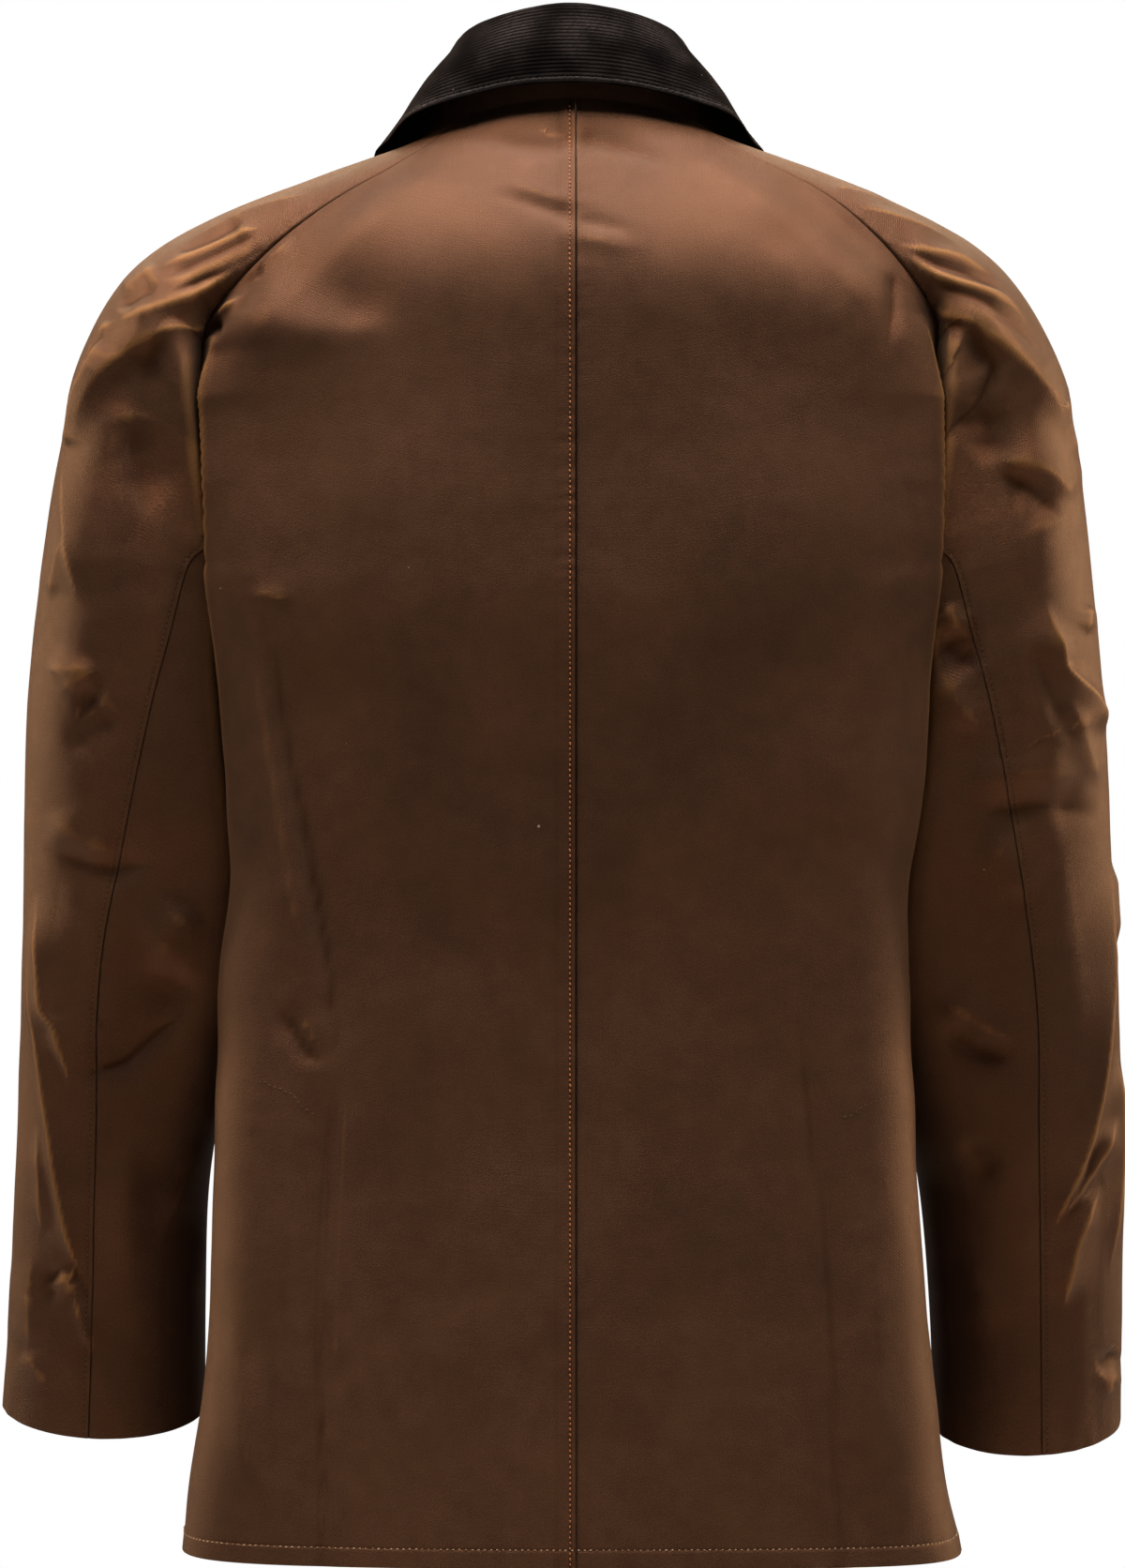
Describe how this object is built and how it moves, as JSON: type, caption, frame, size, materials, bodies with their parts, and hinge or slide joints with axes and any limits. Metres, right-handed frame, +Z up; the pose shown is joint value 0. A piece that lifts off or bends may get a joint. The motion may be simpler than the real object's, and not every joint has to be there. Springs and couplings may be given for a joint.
{
  "type": "waxed cotton raglan jacket",
  "caption": "Hip-length waxed cotton jacket, hollow and filled out, with raglan sleeves, a corduroy fold-down collar, side vents and a centre back seam.",
  "frame": {"origin": "middle of the neck opening, level with the nape, where the wearer holds the jacket up", "axes": "+Z up along the wearer's spine, the front of the jacket towards -Y, the wearer's left towards +X"},
  "size_m": [0.6034, 0.3033, 0.8138],
  "materials": {
    "waxed_cotton": "brown waxed cotton, satin, fine weave",
    "corduroy": "near-black fine corduroy, matt",
    "stud_brass": "aged brass, satin"
  },
  "bodies": {
    "root": {"back_left": "waxed_cotton", "back_right": "waxed_cotton", "front_left": "waxed_cotton", "front_right": "waxed_cotton", "sleeve_top_left": "waxed_cotton", "sleeve_top_right": "waxed_cotton", "sleeve_under_left": "waxed_cotton", "sleeve_under_right": "waxed_cotton", "collar_stand": "waxed_cotton", "storm_fly": "waxed_cotton", "pocket_left": "waxed_cotton", "pocket_right": "waxed_cotton", "pocket_flap_left": "waxed_cotton", "pocket_flap_right": "waxed_cotton", "collar_fall": "corduroy", "fly_stud_1": "stud_brass", "fly_stud_2": "stud_brass", "fly_stud_3": "stud_brass", "fly_stud_4": "stud_brass", "fly_stud_5": "stud_brass", "flap_stud_left": "stud_brass", "flap_stud_right": "stud_brass"}
  },
  "joints": []
}
